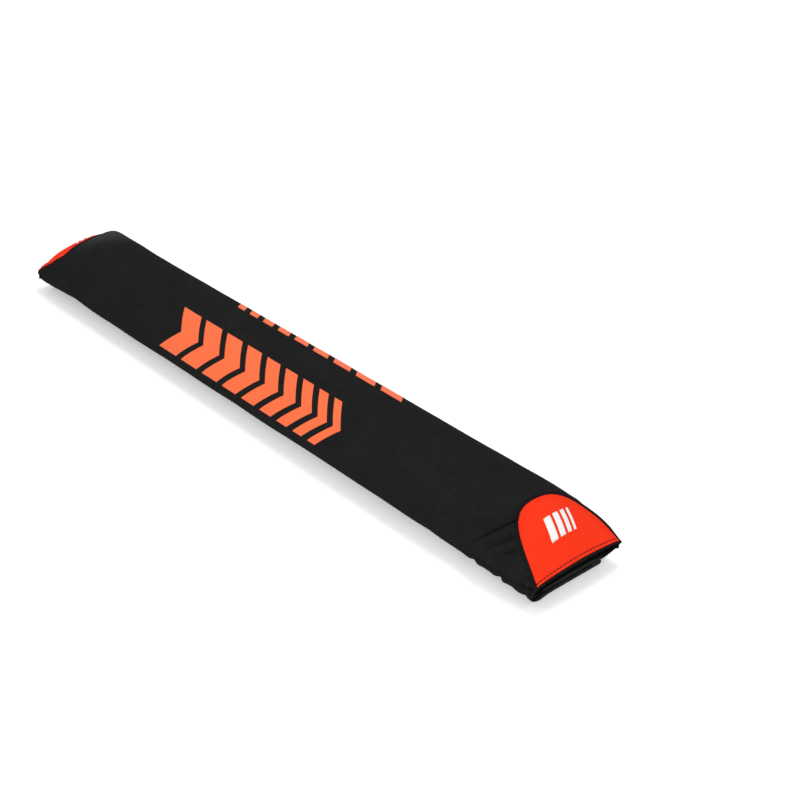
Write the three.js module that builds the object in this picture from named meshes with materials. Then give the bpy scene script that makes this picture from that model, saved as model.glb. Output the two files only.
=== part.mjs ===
// A padded sleeve for one crossbar of a car's roof rack, in millimetres.
// X runs along the sleeve, the front long side faces -Y, and the flap lies on the floor at Z = 0.
import * as THREE from "three";

// Body of the sleeve
const LENGTH = 711; // from hem to hem
const BODY_WIDTH = 99.4;
const BODY_HEIGHT = 57.7;
const PANEL_HEIGHT = 16.1; // floor to the panel that lies on the crossbar
const WIDEST_ABOVE_PANEL = 8.8;
const CROWN_ACROSS = 2.31; // powers of the rounded crown's outline
const CROWN_UP = 1.32;

// Ends, where the crown slopes down to the hem
const SHOULDER_LENGTH = 122.5; // from the hem to where the crown starts to fall
const SHOULDER_POWER = 6.2;
const TAPER_POWER = 1.12;
const HEM_WIDTH = 94.8;
const HEM_HEIGHT = 23.8; // top of the hem at mid width
const HEM_ARCH = 5.1; // mid width stands above the corners by this much
const HEM_ACROSS = 1.57;
const HEM_UP = 2.63;
const HEM_FOLD_RADIUS = 12.4;

// Cloth and the flaps that close round the crossbar
const CLOTH = 1.2;
const CLEARANCE = 0.3;
const FLAP_REACH = 33; // free edge of the outer flap, past mid width
const RETURN_REACH = -30; // free edge of the inner flap, which also passes mid width
const FLAP_SETBACK = 7.5; // the flaps stop this far short of the hems
const STRIP_WIDTH = 24;
const STRIP_LENGTH = 660;
const STRIP_THICKNESS = 1.5;
const STRIP_CORNER = 4;
const STRIP_INSET = 3; // from the outer flap's free edge

// Half-moon patches, their piping and the hem bands
const PATCH_INSET = 2.2; // half-moon's corners, in from the hem's
const PATCH_RISE = 50.3; // from the hem to the top of the half-moon, along X
const PATCH_ACROSS = 3.7; // power of its outline
const PIPING_DIAMETER = 3;
const BAND_HEIGHT = 6.3;
const BAND_DEPTH = 3;
const BAND_CORNER = 3.6; // the band stops this far inside the hem's corners

const FOAM_SETBACK = 6;
const FOAM_EDGE = 0.6; // height of the foam's square lower edge
const FOAM_SLACK = 0.6; // between the foam and its sleeve, and at the panel's side seams

// Printed chevrons: a row on each long side
const PRINT_COUNT = 9;
const PRINT_FIRST_STROKE = 27;
const PRINT_LAST_STROKE = 10;
const PRINT_GAP = 8;
const PRINT_POINT = 20;
const PRINT_FROM_RIDGE = 18.7; // measured over the cloth
const PRINT_TALL = 44.5;
const PRINT_THICKNESS = 0.3;
const PRINT_SHIFT = -6.5; // middle of the front row along X

// Printed bars: a short slanted row on each patch, which narrows as the long rows do
const BAR_COUNT = 4;
const BAR_FIRST_STROKE = 7;
const BAR_LAST_STROKE = 2.5;
const BAR_GAP = 2.5;
const BAR_LENGTH = 16; // along X
const BAR_SLANT = 6; // sideways from a bar's lower end to its upper one
const BAR_SETBACK = 14; // from the hem to the bars' lower ends

const HEM_X = LENGTH / 2;
const SHOULDER_X = HEM_X - SHOULDER_LENGTH;
const STRIP_Y = FLAP_REACH - STRIP_INSET - STRIP_WIDTH / 2;
const HOOK_Z = CLOTH + CLEARANCE;
const LOOP_Z = HOOK_Z + STRIP_THICKNESS + CLEARANCE;
const RETURN_Z = LOOP_Z + STRIP_THICKNESS + CLEARANCE;
const PATCH_WIDTH = HEM_WIDTH - 2 * PATCH_INSET;
const PIPING_SEAM = PIPING_DIAMETER / 2 + CLEARANCE;

// Shares of the way from the shoulder to an end at which the surface is divided
const END_STEPS = [0, 0.25, 0.45, 0.6, 0.72, 0.82, 0.9, 0.96, 1];
const BODY_STEPS = [-0.5, 0, 0.5];
const CROWN_STEPS = 16;
const ROUND_STEPS = 7;

const BLACK_CLOTH = { color: 0x1e1e1f, roughness: 0.85, metalness: 0 };
const BLACK_TAPE = { color: 0x151516, roughness: 0.9, metalness: 0 };
const RED_CLOTH = { color: 0xf93a26, roughness: 0.75, metalness: 0 };
const ORANGE_INK = { color: 0xff7041, roughness: 0.6, metalness: 0 };
const WHITE_INK = { color: 0xf4f4f2, roughness: 0.6, metalness: 0 };
const GREY_FOAM = { color: 0x6d6f72, roughness: 0.95, metalness: 0 };

const mix = (a, b, t) => a + (b - a) * t;
const between = (a, b, steps) => Array.from({ length: steps + 1 }, (_, i) => mix(a, b, i / steps));

// The sleeve's cross-section at x: its half width, height, and where and how it rounds.
function sectionAt(x) {
  const u = THREE.MathUtils.clamp((Math.abs(x) - SHOULDER_X) / SHOULDER_LENGTH, 0, 1);
  const fall = u ** SHOULDER_POWER;
  const taper = u ** TAPER_POWER;
  const bodyWidest = PANEL_HEIGHT + WIDEST_ABOVE_PANEL;
  return {
    half: mix(BODY_WIDTH, HEM_WIDTH, taper) / 2,
    height: mix(BODY_HEIGHT, HEM_HEIGHT, fall),
    widest: mix(bodyWidest, HEM_HEIGHT - HEM_ARCH, taper),
    across: mix(CROWN_ACROSS, HEM_ACROSS, taper),
    up: mix(CROWN_UP, HEM_UP, taper),
    fold: mix(bodyWidest, HEM_FOLD_RADIUS, taper),
    taper,
  };
}

function crownSurface(x, ratio) {
  const s = sectionAt(x);
  const share = Math.max(0, 1 - Math.abs(ratio) ** s.across) ** (1 / s.up);
  return new THREE.Vector3(x, ratio * s.half, mix(s.widest, s.height, share));
}

// A point on the crown, where ratio runs from -1 at the front side to 1 at the back,
// moved inwards by depth along the surface's normal.
function crownPoint(x, ratio, depth = 0) {
  const point = crownSurface(x, ratio);
  if (depth === 0) return point;
  if (Math.abs(ratio) === 1) {
    point.y -= Math.sign(ratio) * depth;
    return point;
  }
  const step = 1e-3;
  const inner = Math.min(Math.abs(x), HEM_X - step) * Math.sign(x);
  const along = crownSurface(inner + step, ratio).sub(crownSurface(inner - step, ratio));
  const over = crownSurface(inner, ratio + step * (1 - Math.abs(ratio)))
    .sub(crownSurface(inner, ratio - step * (1 - Math.abs(ratio))));
  return point.addScaledVector(along.cross(over).normalize(), -depth);
}

// Half width inside the sleeve at height z, at the front or back side, less a depth.
function wallHalfWidth(x, z, depth, atBack) {
  const s = sectionAt(x);
  const low = atBack ? RETURN_Z : 0;
  const radius = atBack ? s.widest - RETURN_Z : s.fold;
  const below = Math.max(0, low + radius - z);
  return s.half - radius + Math.sqrt(Math.max(0, (radius - depth) ** 2 - below ** 2));
}

// The underside panel: flat along the body, arched with the hem at the ends.
function panelHeight(x, ratio) {
  const hem = crownSurface(HEM_X, ratio).z - CLOTH - BAND_HEIGHT;
  return mix(PANEL_HEIGHT, hem, sectionAt(x).taper);
}

// The half-moon's outline: angle runs from -90 degrees at the front corner to 90 at the back one.
function halfMoon(angle, grow) {
  const sine = Math.sin(angle);
  return {
    ratio: (sine * (PATCH_WIDTH / 2 + grow)) / (HEM_WIDTH / 2),
    x: HEM_X - (PATCH_RISE + grow) * (1 - Math.abs(sine) ** PATCH_ACROSS),
  };
}

const moonAngles = (limit) => between(-limit, limit, CROWN_STEPS).map(THREE.MathUtils.degToRad);

// A closed solid from two grids of points, its outer and inner skins, joined round their edges.
// The outer skin faces the way that its rows crossed with its columns point.
function solidSheet(outer, inner) {
  const rows = outer.length;
  const columns = outer[0].length;
  const points = [...outer.flat(), ...inner.flat()];
  const faces = [];
  const at = (skin, i, j) => skin * rows * columns + i * columns + j;
  const quad = (a, b, c, d) => faces.push(a, b, c, a, c, d);
  for (let i = 0; i < rows - 1; i++)
    for (let j = 0; j < columns - 1; j++) {
      quad(at(0, i, j), at(0, i + 1, j), at(0, i + 1, j + 1), at(0, i, j + 1));
      quad(at(1, i, j), at(1, i, j + 1), at(1, i + 1, j + 1), at(1, i + 1, j));
    }
  for (let i = 0; i < rows - 1; i++) {
    quad(at(0, i + 1, 0), at(0, i, 0), at(1, i, 0), at(1, i + 1, 0));
    quad(at(0, i, columns - 1), at(0, i + 1, columns - 1), at(1, i + 1, columns - 1), at(1, i, columns - 1));
  }
  for (let j = 0; j < columns - 1; j++) {
    quad(at(0, 0, j), at(0, 0, j + 1), at(1, 0, j + 1), at(1, 0, j));
    quad(at(0, rows - 1, j + 1), at(0, rows - 1, j), at(1, rows - 1, j), at(1, rows - 1, j + 1));
  }
  return new THREE.BufferGeometry().setFromPoints(points).setIndex(faces);
}

const sleeve = new THREE.Group();
sleeve.name = "roof_rack_pad";

function addPiece(name, geometry, finish) {
  const mesh = new THREE.Mesh(geometry, new THREE.MeshStandardMaterial(finish));
  mesh.name = name;
  sleeve.add(mesh);
}

// Places from the far end to the near one, each end given as a function of its share of the slope.
function stations(endX) {
  const far = [...END_STEPS].reverse().map((t) => -mix(SHOULDER_X, endX, t));
  const near = END_STEPS.map((t) => mix(SHOULDER_X, endX, t));
  return [...far, ...BODY_STEPS.map((t) => t * SHOULDER_X), ...near];
}

// Ratios across the crown, the same for every layer so that their facets run parallel.
const crownRatios = [-1, ...moonAngles(90).map((angle) => halfMoon(angle, PIPING_SEAM).ratio), 1];

// The cover is one folded panel. Each line below runs along it, from the inner flap's free edge
// round the back, over the crown and round the front to the outer flap's free edge.
function flatLine(y, z) {
  return { end: HEM_X - FLAP_SETBACK, at: (x, depth) => new THREE.Vector3(x, y, z + depth) };
}

function roundLine(degrees, atBack) {
  const a = THREE.MathUtils.degToRad(degrees);
  const low = atBack ? RETURN_Z : 0;
  const at = (x, depth) => {
    const s = sectionAt(x);
    const radius = atBack ? s.widest - low : s.fold;
    const y = s.half - radius + (radius - depth) * Math.sin(a);
    return new THREE.Vector3(x, atBack ? y : -y, low + radius - (radius - depth) * Math.cos(a));
  };
  const side = HEM_HEIGHT - HEM_ARCH;
  return { end: HEM_X - (FLAP_SETBACK * (side - at(HEM_X, 0).z)) / (side - low), at };
}

function crownLine(ratio, end) {
  return { end, at: (x, depth) => crownPoint(x, ratio, depth) };
}

function coverLines() {
  const rounds = between(0, 90, ROUND_STEPS).slice(0, -1);
  const moon = moonAngles(-90).map((angle) => {
    const edge = halfMoon(angle, PIPING_SEAM);
    return crownLine(edge.ratio, edge.x);
  });
  return [
    flatLine(RETURN_REACH, RETURN_Z),
    ...rounds.map((degrees) => roundLine(degrees, true)),
    crownLine(1, HEM_X),
    ...moon,
    crownLine(-1, HEM_X),
    ...[...rounds].reverse().map((degrees) => roundLine(degrees, false)),
    flatLine(FLAP_REACH, 0),
  ];
}

function coverGeometry() {
  const skins = [0, CLOTH].map((depth) =>
    coverLines().map((line) => stations(line.end).map((x) => line.at(x, depth))),
  );
  return solidSheet(...skins);
}

function foamGeometry() {
  const depth = CLOTH + FOAM_SLACK;
  const xs = stations(HEM_X - FOAM_SETBACK);
  const underside = PANEL_HEIGHT + depth;
  const corner = (x, atBack) => {
    const y = wallHalfWidth(x, underside, depth, atBack);
    return new THREE.Vector3(x, atBack ? y : -y, underside + FOAM_EDGE);
  };
  const top = xs.map((x) => [
    corner(x, false),
    ...crownRatios.map((ratio) => crownPoint(x, ratio, depth)),
    corner(x, true),
  ]);
  const bottom = xs.map((x, i) => {
    const row = top[i];
    const last = row.length - 1;
    return row.map((_, j) => new THREE.Vector3(x, mix(row[0].y, row[last].y, j / last), underside));
  });
  return solidSheet(top, bottom);
}

function panelGeometry() {
  const skins = [CLOTH, 0].map((rise) =>
    stations(HEM_X - BAND_DEPTH - CLEARANCE).map((x) => {
      const z = panelHeight(x, 1);
      const front = -wallHalfWidth(x, z, CLOTH + FOAM_SLACK, false);
      const back = wallHalfWidth(x, z, CLOTH + FOAM_SLACK, true);
      return between(front, back, 8).map(
        (y) => new THREE.Vector3(x, y, panelHeight(x, y / sectionAt(x).half) + rise),
      );
    }),
  );
  return solidSheet(...skins);
}

function patchGeometry() {
  const skins = [0, CLOTH].map((depth) =>
    moonAngles(80).map((angle) => {
      const edge = halfMoon(angle, -PIPING_SEAM);
      return between(edge.x, HEM_X, 7).map((x) => crownPoint(x, edge.ratio, depth));
    }),
  );
  return solidSheet(...skins.map((skin) => skin.reverse()));
}

function pipingGeometry() {
  const path = new THREE.CatmullRomCurve3(
    moonAngles(82).map((angle) => {
      const edge = halfMoon(angle, 0);
      return crownPoint(edge.x, edge.ratio);
    }),
  );
  const cord = new THREE.Shape().absarc(0, 0, PIPING_DIAMETER / 2, 0, 2 * Math.PI);
  return new THREE.ExtrudeGeometry(cord, { extrudePath: path, steps: 32, curveSegments: 4 });
}

// The black band folded round each end's lower edge, under the patch.
function bandGeometry() {
  const half = HEM_WIDTH / 2 - BAND_CORNER;
  const round = BAND_DEPTH / 4;
  const front = between(-half, half, 12).map((y) => {
    const top = crownSurface(HEM_X, y / (HEM_WIDTH / 2)).z - CLOTH - CLEARANCE;
    const low = top - BAND_HEIGHT;
    const profile = [
      [BAND_DEPTH - round, low],
      [round, low],
      [0, low + round],
      [0, top - round],
      [round, top],
      [BAND_DEPTH - round, top],
    ];
    return profile.map(([back, z]) => new THREE.Vector3(HEM_X - back, y, z));
  });
  const rear = front.map((row) => row.map((p) => new THREE.Vector3(HEM_X - BAND_DEPTH, p.y, p.z)));
  return solidSheet(front, rear);
}

function stripGeometry(z) {
  const [x, y, r] = [STRIP_LENGTH / 2, STRIP_WIDTH / 2, STRIP_CORNER];
  const outline = new THREE.Shape()
    .absarc(x - r, y - r, r, 0, Math.PI / 2)
    .absarc(r - x, y - r, r, Math.PI / 2, Math.PI)
    .absarc(r - x, r - y, r, Math.PI, 1.5 * Math.PI)
    .absarc(x - r, r - y, r, 1.5 * Math.PI, 2 * Math.PI);
  return new THREE.ExtrudeGeometry(outline, { depth: STRIP_THICKNESS, bevelEnabled: false, curveSegments: 4 })
    .translate(0, STRIP_Y, z);
}

// Ratio across the body's crown at a length of cloth from the ridge, towards the front.
function ratioFromRidge(length) {
  let ratio = 0;
  let point = crownSurface(0, 0);
  for (let run = 0; run < length && ratio > -0.999; ) {
    ratio -= 0.001;
    const next = crownSurface(0, ratio);
    run += next.distanceTo(point);
    point = next;
  }
  return ratio;
}

function chevronGeometry(start, stroke) {
  const skins = [PRINT_THICKNESS, 0].map((thickness) =>
    between(0, 1, 8).map((t) => {
      const ratio = ratioFromRidge(PRINT_FROM_RIDGE + t * PRINT_TALL);
      const left = start + PRINT_POINT * (1 - Math.abs(2 * t - 1));
      return [left, left + stroke].map((x) => crownPoint(x, ratio, -CLEARANCE - thickness));
    }),
  );
  return solidSheet(...skins);
}

function addPrint() {
  const strokes = between(PRINT_FIRST_STROKE, PRINT_LAST_STROKE, PRINT_COUNT - 1);
  const inked = strokes.reduce((sum, stroke) => sum + stroke, 0);
  let start = PRINT_SHIFT - (inked + PRINT_GAP * (PRINT_COUNT - 1) + PRINT_POINT) / 2;
  strokes.forEach((stroke, i) => {
    const chevron = chevronGeometry(start, stroke);
    addPiece(`front_chevron_${i + 1}`, chevron, ORANGE_INK);
    addPiece(`back_chevron_${i + 1}`, chevron.clone().rotateZ(Math.PI), ORANGE_INK);
    start += stroke + PRINT_GAP;
  });
}

function barGeometry(start, stroke) {
  const skins = [PRINT_THICKNESS, 0].map((thickness) =>
    between(0, 1, 4).map((t) => {
      const x = HEM_X - BAR_SETBACK - t * BAR_LENGTH;
      const left = start + t * BAR_SLANT;
      return [left + stroke, left].map((y) => crownPoint(x, y / sectionAt(x).half, -CLEARANCE - thickness));
    }),
  );
  return solidSheet(...skins);
}

function barRow() {
  const strokes = between(BAR_FIRST_STROKE, BAR_LAST_STROKE, BAR_COUNT - 1);
  const inked = strokes.reduce((sum, stroke) => sum + stroke, 0);
  let start = -(inked + BAR_GAP * (BAR_COUNT - 1) + BAR_SLANT) / 2;
  return strokes.map((stroke) => {
    const bar = barGeometry(start, stroke);
    start += stroke + BAR_GAP;
    return bar;
  });
}

addPiece("cover", coverGeometry(), BLACK_CLOTH);
addPiece("foam_core", foamGeometry(), GREY_FOAM);
addPiece("underside_panel", panelGeometry(), BLACK_CLOTH);
addPiece("hook_strip", stripGeometry(HOOK_Z), BLACK_TAPE);
addPiece("loop_strip", stripGeometry(LOOP_Z), BLACK_TAPE);
addPrint();
for (const end of ["near", "far"]) {
  const pieces = {
    end_patch: [patchGeometry(), RED_CLOTH],
    patch_piping: [pipingGeometry(), BLACK_CLOTH],
    hem_band: [bandGeometry(), BLACK_TAPE],
  };
  barRow().forEach((bar, i) => {
    pieces[`bar_${i + 1}`] = [bar, WHITE_INK];
  });
  for (const [name, [geometry, finish]] of Object.entries(pieces))
    addPiece(`${end}_${name}`, end === "near" ? geometry : geometry.rotateZ(Math.PI), finish);
}

export default sleeve;
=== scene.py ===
"""Looks of a padded sleeve for the crossbar of a car's roof rack.

The sleeve's solids are loaded as a fixed frame, in metres. Each soft solid is replaced by a
piece of cloth, foam, tape, cord, thread or ink that lies in the same place.
"""

import math

import bpy
import numpy as np
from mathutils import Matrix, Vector


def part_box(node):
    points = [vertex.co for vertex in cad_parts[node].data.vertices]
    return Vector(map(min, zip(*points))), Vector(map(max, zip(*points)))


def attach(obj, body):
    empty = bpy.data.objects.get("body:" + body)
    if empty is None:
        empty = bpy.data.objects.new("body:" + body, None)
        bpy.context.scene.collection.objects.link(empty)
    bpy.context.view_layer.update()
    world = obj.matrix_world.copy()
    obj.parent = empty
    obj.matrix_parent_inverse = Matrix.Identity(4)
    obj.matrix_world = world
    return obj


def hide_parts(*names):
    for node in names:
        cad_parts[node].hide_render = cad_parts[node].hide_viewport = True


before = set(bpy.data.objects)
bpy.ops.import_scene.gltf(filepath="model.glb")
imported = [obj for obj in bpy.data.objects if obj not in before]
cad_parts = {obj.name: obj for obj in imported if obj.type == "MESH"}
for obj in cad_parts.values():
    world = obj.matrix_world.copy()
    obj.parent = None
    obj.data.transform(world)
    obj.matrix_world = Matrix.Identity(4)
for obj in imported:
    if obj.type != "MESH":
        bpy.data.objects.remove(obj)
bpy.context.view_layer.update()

MM = 0.001

# Body of the sleeve, in the solids' own sizes
HEM_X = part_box("cover")[1].x
BODY_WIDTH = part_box("cover")[1].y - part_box("cover")[0].y
BODY_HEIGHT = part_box("cover")[1].z
PANEL_HEIGHT = 16.1 * MM
WIDEST_ABOVE_PANEL = 8.8 * MM
BODY_WIDEST = PANEL_HEIGHT + WIDEST_ABOVE_PANEL
CROWN_ACROSS = 2.31
CROWN_UP = 1.32

# Ends, where the crown slopes down to the hem. Pairs are for the near end and the far one,
# which is stuffed fuller.
SHOULDER_LENGTH = 122.5 * MM
SHOULDER_X = HEM_X - SHOULDER_LENGTH
SHOULDER_POWER = (6.2, 7.4)
TAPER_POWER = 1.12
HEM_WIDTH = (94.8 * MM, 98.1 * MM)
HEM_HEIGHT = 23.8 * MM
HEM_ARCH = 5.1 * MM
HEM_SIDE = HEM_HEIGHT - HEM_ARCH
HEM_ACROSS = (1.57, 1.64)
HEM_UP = (2.63, 2.84)
HEM_FOLD_RADIUS = 12.4 * MM

# Flaps and their touch fastener
FLAP_REACH = 33 * MM
RETURN_REACH = -30 * MM
RETURN_HEIGHT = 5.1 * MM
FLAP_SETBACK = 7.5 * MM
FLAP_DRAWN_IN = 1.4 * MM

# Half-moon patches: the hem they end at, their width, rise and roundness, and their piping's radius
# and how far it stands off the cloth
NEAR_MOON = {
    "hem": HEM_WIDTH[0],
    "width": 91.4 * MM,
    "rise": 49.5 * MM,
    "across": 3.3,
    "cord": 1.4 * MM,
    "lift": 0.1 * MM,
}
FAR_MOON = {
    "hem": HEM_WIDTH[1],
    "width": 97.2 * MM,
    "rise": 34.4 * MM,
    "across": 10.0,
    "cord": 0.9 * MM,
    "lift": -0.7 * MM,
}

# Hem tape
TAPE_HEIGHT = 6.3 * MM
TAPE_DEPTH = 3 * MM
TAPE_INSET = 0.4 * MM
TAPE_BACK = 0.12 * MM
TAPE_CORNER = 2.2 * MM
TAPE_CORNER_DROP = 1.0 * MM
TAPE_CORNER_SAG = 0.6 * MM
# The folded tape's outline in millimetres, as (depth behind its face, height): up its back, round the
# rolled top edge, down its face and in under its foot
TAPE_PROFILE = [
    (2.7, 0.5), (2.9, 2.5), (2.6, 5.2), (1.9, 6.1), (0.9, 6.45), (-0.1, 6.6),
    (-0.5, 6.2), (-0.6, 5.6), (-0.5, 4.9), (-0.1, 4.3), (0.5, 4.0), (0.7, 3.2),
    (0.6, 1.6), (0.3, 0.9), (0.2, 0.4), (0.8, 0.05), (1.7, 0.0),
]
# Where the tape's painted highlight shows, on its rolled top edge and under its foot, as the length of tape
# round that outline
TAPE_ROLL_END = 10.3 * MM
TAPE_FOOT = 14.9 * MM

# Cloth, thread and cord
CLOTH = 0.5 * MM
HEM_TURN = 9 * MM
HEM_FOLD = 0.5 * MM
FLAP_HEM_FOLD = 1.35 * MM
SEAM_GAP = 0.8 * MM
SEAM_SUNK = 0.7 * MM
WEAVE_PITCH = 0.55 * MM
FINE_WEAVE_PITCH = 0.45 * MM
TAPE_RIB_PITCH = 0.7 * MM
STITCH_LENGTH = 3.35 * MM
STITCH_PITCH = 3.6 * MM
THREAD_RADIUS = 0.36 * MM
STITCH_LIFT = 0.02 * MM
PATCH_STITCH_SETBACK = 1.9 * MM
END_STITCH_SETBACK = 5.5 * MM
FLAP_STITCH_SETBACK = 7 * MM

# Foam and the panel under it
FOAM_ROUND = 4 * MM
FOAM_END_GAP = 6 * MM
FOAM_SLACK = 1.8 * MM
FOAM_END_SLACK = 2.4 * MM
FOAM_CLEAR = 2 * MM
PANEL_GAP = 1.9 * MM
PANEL_BELOW_ARCH = 1.2 * MM
PANEL_SIDE_GAP = 2.6 * MM
PANEL_SAG = 0.35 * MM

# How much paler the cloth is painted, as painted sheen and light: 0 isn't, and 1 is pale all over
FAR_CORNER_PAINTED_LIGHT = 1.1
NEAR_CORNER_PAINTED_LIGHT = 0.07
HEM_PAINTED_LIGHT = 0.48
# shares of the painted light on the hems, row by row or column by column across the fold
END_HEM_PAINTED_LIGHT = (0.25, 0.7, 1, 1, 1, 1, 0.8, 0.4, 0.1)
FLAP_HEM_PAINTED_LIGHT = (0.5, 0.8, 1, 1, 0.8, 0.4, 0.1)

# Print
CHEVRONS = 9
FIRST_STROKE = 27 * MM
LAST_STROKE = 10 * MM
CHEVRON_GAP = 8 * MM
CHEVRON_POINT = 20 * MM
PRINT_FROM_RIDGE = 18.7 * MM
PRINT_TALL = 44.5 * MM
PRINT_SHIFT = -6.5 * MM
INK_LIFT = 0.10 * MM
INK = 0.06 * MM
BARS = 4
FIRST_BAR = 7 * MM
LAST_BAR = 2.5 * MM
BAR_GAP = 2.5 * MM
BAR_LENGTH = 16 * MM
BAR_SLANT = 6 * MM
BAR_SETBACK = 14 * MM


# The camera stands where the photograph was taken from.
camera = bpy.data.objects.new("camera", bpy.data.cameras.new("camera"))
bpy.context.scene.collection.objects.link(camera)
camera.location = (0.9984, -0.7453, 0.7438)
camera.rotation_euler = (Vector((0.0585, 0.0812, 0)) - camera.location).to_track_quat("-Z", "Y").to_euler()
camera.data.lens = 72.16
camera.data.sensor_width = 36
bpy.context.scene.camera = camera


# ---- Shape of the sleeve ----


def between(a, b, share):
    return a + (b - a) * share


def section(x):
    """The cross-section's sizes at x: half width, height, and where and how it rounds."""
    u = np.clip((np.abs(x) - SHOULDER_X) / SHOULDER_LENGTH, 0, 1)
    pairs = (SHOULDER_POWER, HEM_ACROSS, HEM_UP, HEM_WIDTH)
    power, across, up, hem = [np.where(np.asarray(x) > 0, *pair) for pair in pairs]
    fall, taper = u**power, u**TAPER_POWER
    return {
        "half": between(BODY_WIDTH, hem, taper) / 2,
        "height": between(BODY_HEIGHT, HEM_HEIGHT, fall),
        "widest": between(BODY_WIDEST, HEM_SIDE, taper),
        "across": between(CROWN_ACROSS, across, taper),
        "up": between(CROWN_UP, up, taper),
        "fold": between(BODY_WIDEST, HEM_FOLD_RADIUS, taper),
        "taper": taper,
    }


def bare_skin(x, turn):
    """The smooth outside of the cover. Turn goes round it as the cloth does: 0 to 1 along the outer
    flap, 1 to 2 up the front, 2 to 4 over the crown, 4 to 5 down the back, 5 to 6 along the inner flap."""
    x, turn = np.broadcast_arrays(np.asarray(x, float), np.asarray(turn, float))
    s = section(x)
    half, fold, widest = s["half"], s["fold"], s["widest"]
    # outer flap, from its free edge to the front fold
    share = np.clip(turn, 0, 1)
    flap_y = between(FLAP_REACH, -(half - fold), share)
    # front fold, then the short straight wall above it
    run = np.clip(turn - 1, 0, 1) * (fold * math.pi / 2 + widest - fold)
    angle = np.minimum(run / fold, math.pi / 2)
    front_y = -(half - fold + fold * np.sin(angle))
    front_z = fold * (1 - np.cos(angle)) + np.maximum(run - fold * math.pi / 2, 0)
    # crown
    ratio = np.clip(turn - 3, -1, 1)
    crown_z = between(widest, s["height"], np.maximum(0, 1 - np.abs(ratio) ** s["across"]) ** (1 / s["up"]))
    # back fold, in to the inner flap
    radius = widest - RETURN_HEIGHT
    angle = (1 - np.clip(turn - 4, 0, 1)) * math.pi / 2
    back_y = half - radius + radius * np.sin(angle)
    back_z = RETURN_HEIGHT + radius * (1 - np.cos(angle))
    share = np.clip(turn - 5, 0, 1)
    inner_y = between(half - radius, RETURN_REACH, share)
    parts = [turn < 1, turn < 2, turn <= 4, turn < 5]
    y = np.select(parts, [flap_y, front_y, ratio * half, back_y], inner_y)
    z = np.select(parts, [np.zeros_like(x), front_z, crown_z, back_z], RETURN_HEIGHT)
    return np.stack([x, y, z], -1)


def outward(x, turn):
    """Unit normals of the smooth outside."""
    x, turn = np.broadcast_arrays(np.asarray(x, float), np.asarray(turn, float))
    step_x, step_turn = 0.3 * MM, 0.004
    x = np.clip(x, step_x - HEM_X, HEM_X - step_x)
    turn = np.clip(turn, step_turn, 6 - step_turn)
    along = bare_skin(x + step_x, turn) - bare_skin(x - step_x, turn)
    over = bare_skin(x, turn + step_turn) - bare_skin(x, turn - step_turn)
    normal = np.cross(along, over)
    return normal / np.linalg.norm(normal, axis=-1, keepdims=True)


# Length of cloth from the ridge at mid length, as the cloth turns round the sleeve
TURNS = np.concatenate([np.linspace(0, 2, 200), np.linspace(2, 4, 1200)[1:], np.linspace(4, 6, 200)[1:]])
_steps = np.linalg.norm(np.diff(bare_skin(np.zeros_like(TURNS), TURNS), axis=0), axis=-1)
GIRTHS = np.concatenate([[0], np.cumsum(_steps)])
GIRTHS -= np.interp(3, TURNS, GIRTHS)


def girth_of(turn):
    return np.interp(turn, TURNS, GIRTHS)


def turn_of(girth):
    return np.interp(girth, GIRTHS, TURNS)


def crease(x, girth, start, end, width, depth, spread, bow):
    """A pinched fold in the cloth from start to end, each (x, girth), bowed sideways at its middle:
    a sunken line between two soft rolls, which widens and fades towards its end."""
    (x0, g0), (x1, g1) = start, end
    length = math.hypot(x1 - x0, g1 - g0)
    dx, dg = (x1 - x0) / length, (g1 - g0) / length
    along = ((x - x0) * dx + (girth - g0) * dg) / length
    here = np.clip(along, 0, 1)
    across = (girth - g0) * dx - (x - x0) * dg - bow * 4 * here * (1 - here)
    off = across / (width * (1 + spread * here))
    fade = np.exp(-((np.maximum(0, -along) * length / width) ** 2)) * np.clip(1 - along, 0, 1) ** 0.45
    rolls = 0.55 * np.exp(-((off - 1.7) ** 2) / 1.3) + 0.35 * np.exp(-((off + 1.7) ** 2) / 1.3)
    return depth * fade * (rolls - np.exp(-(off**2)))


def hill(x, middle, width):
    return np.exp(-(((x - middle) / width) ** 2))


# The far end's crown in millimetres, as rise, middle and width along x, middle and width round it:
# the foam's back corner pushes out, and the crown dips a little before it
FAR_BUMPS = [
    (5.0, -314, 7, 20, 14),
    (-2.2, -262, 30, 0, 36),
]
# How far the far end's front corner is drawn in, and where that starts and is full, in millimetres
FAR_TUCK = 4.5
FAR_TUCK_STARTS = 235
FAR_TUCK_RUN = 55


def far_fullness(mm_x, mm_g):
    return sum(rise * hill(mm_x, x, long) * hill(mm_g, g, wide) for rise, x, long, g, wide in FAR_BUMPS)


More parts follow.
